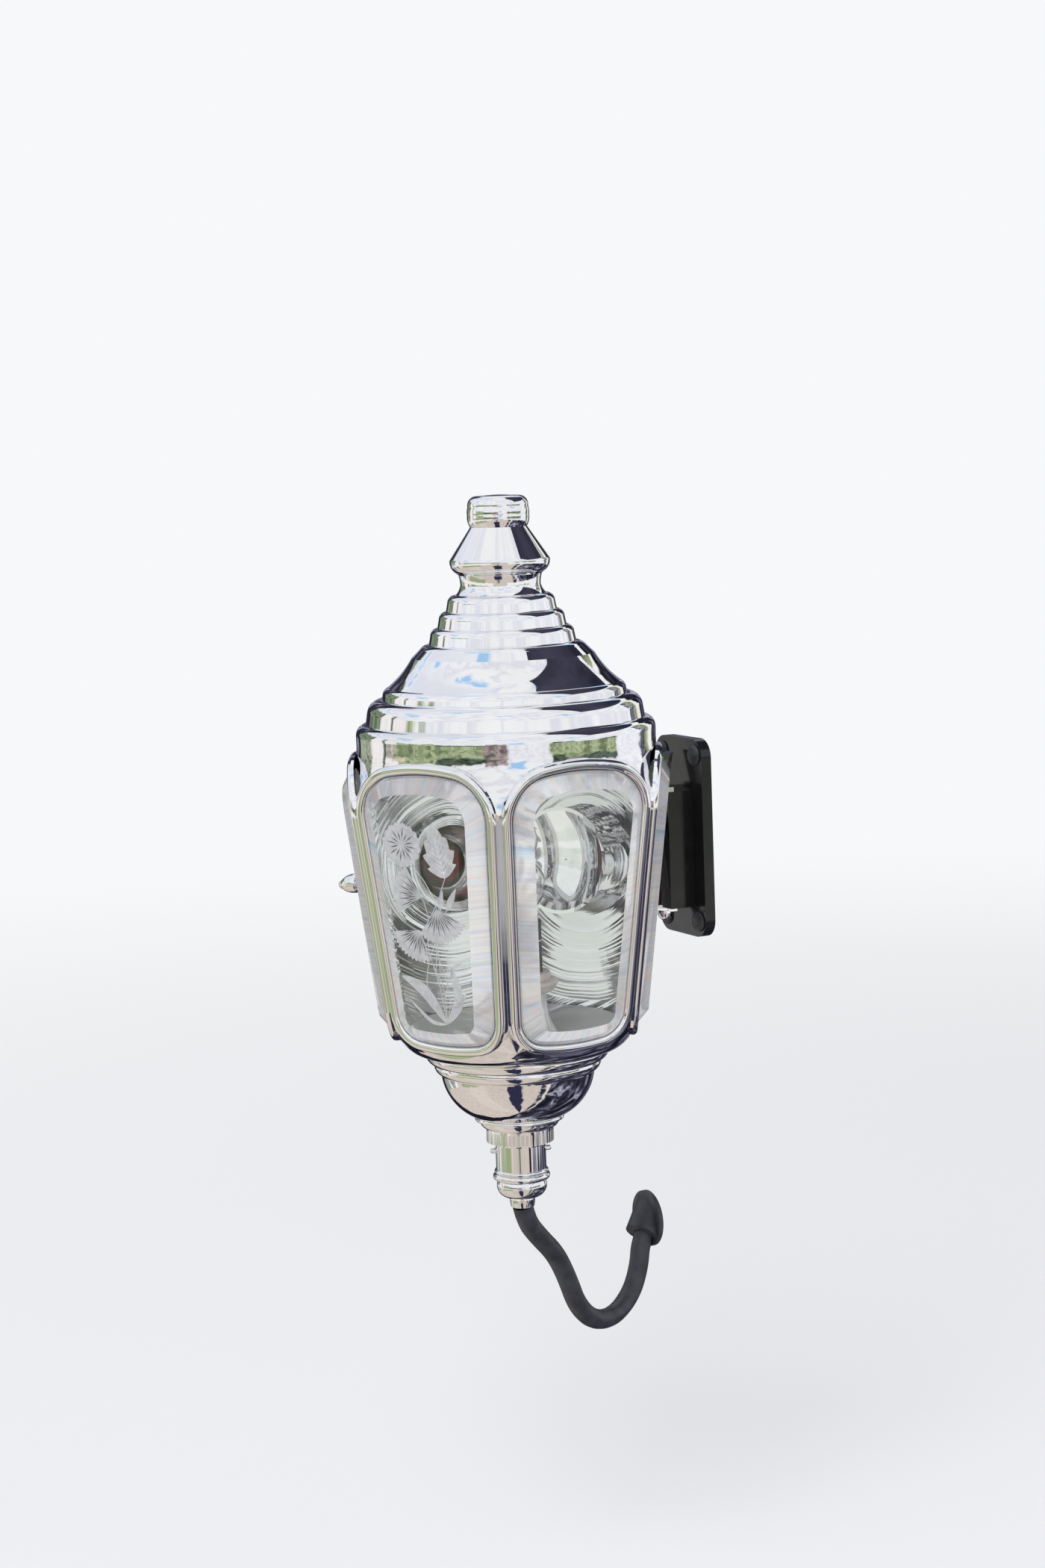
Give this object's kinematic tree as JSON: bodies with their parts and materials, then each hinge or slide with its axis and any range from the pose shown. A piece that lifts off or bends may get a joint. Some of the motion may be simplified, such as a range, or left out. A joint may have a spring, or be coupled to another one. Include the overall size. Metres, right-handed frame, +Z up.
{
  "type": "carriage side lamp",
  "caption": "Silver-plated hexagonal carriage side lamp with thick bevelled panes, spun roof, hinged rear door with a red jewel, bayonet plug and rubber lead on a pillar bracket.",
  "frame": {"origin": "centre of the pillar bracket's back face, the face that lies on the pillar", "axes": "+Z up, +X inboard into the pillar, -Y the way the carriage faces; the lamp's axis stands 90 mm out at -X"},
  "size_m": [0.1629, 0.15, 0.3822],
  "materials": {
    "silver_plate": "polished silver plate on brass, fine wipe marks",
    "reflector": "polished silvered reflector",
    "bevelled_glass": "clear plate glass with polished bevels, faint green edge",
    "ruby_glass": "clear red pressed glass",
    "bulb_glass": "clear thin glass",
    "porcelain": "pale glazed insulator",
    "dark_nickel": "dull dark plated sleeve",
    "black_rubber": "matt rubber sheath, slightly greyed",
    "black_enamel": "gloss black stove enamel on iron"
  },
  "bodies": {
    "lantern": {"base_bowl": "silver_plate", "base_collar": "silver_plate", "bayonet_pins": "silver_plate", "bead_front": "silver_plate", "bead_inner_front": "silver_plate", "bead_inner_rear": "silver_plate", "bead_outer_front": "silver_plate", "bead_outer_rear": "silver_plate", "body_frame": "silver_plate", "body_rim": "silver_plate", "bulb_cap": "dark_nickel", "bulb_glass": "bulb_glass", "bulb_insulator": "porcelain", "bulb_pedestal": "reflector", "clamp_nut": "silver_plate", "concave_mirror": "reflector", "crown": "silver_plate", "finial_button": "silver_plate", "frame_knuckles": "silver_plate", "hinge_pins": "silver_plate", "knurled_ring": "silver_plate", "lead": "black_rubber", "lead_gland": "silver_plate", "lead_grommet": "black_rubber", "mirror_panel": "silver_plate", "pane_front": "bevelled_glass", "pane_inner_front": "bevelled_glass", "pane_outer_front": "bevelled_glass", "pane_outer_rear": "bevelled_glass", "pillar_bracket": "black_enamel", "plug_barrel": "silver_plate", "plug_shell": "silver_plate", "reflector_tray": "reflector", "roof_dome": "silver_plate", "roof_skirt": "silver_plate", "roof_steps": "silver_plate", "side_iron": "silver_plate", "socket_cup": "silver_plate"},
    "door": {"door_plate": "silver_plate", "bead_rear": "silver_plate", "door_dish": "reflector", "jewel": "ruby_glass", "door_knob": "silver_plate"}
  },
  "joints": [
    {"name": "rear_door", "type": "hinge", "parent": "lantern", "child": "door", "pos_m": [-0.05566, 0.05949, -0.02417], "axis": [-0.0686, -0.1188, -0.9905], "range_deg": [0, 110]}
  ]
}
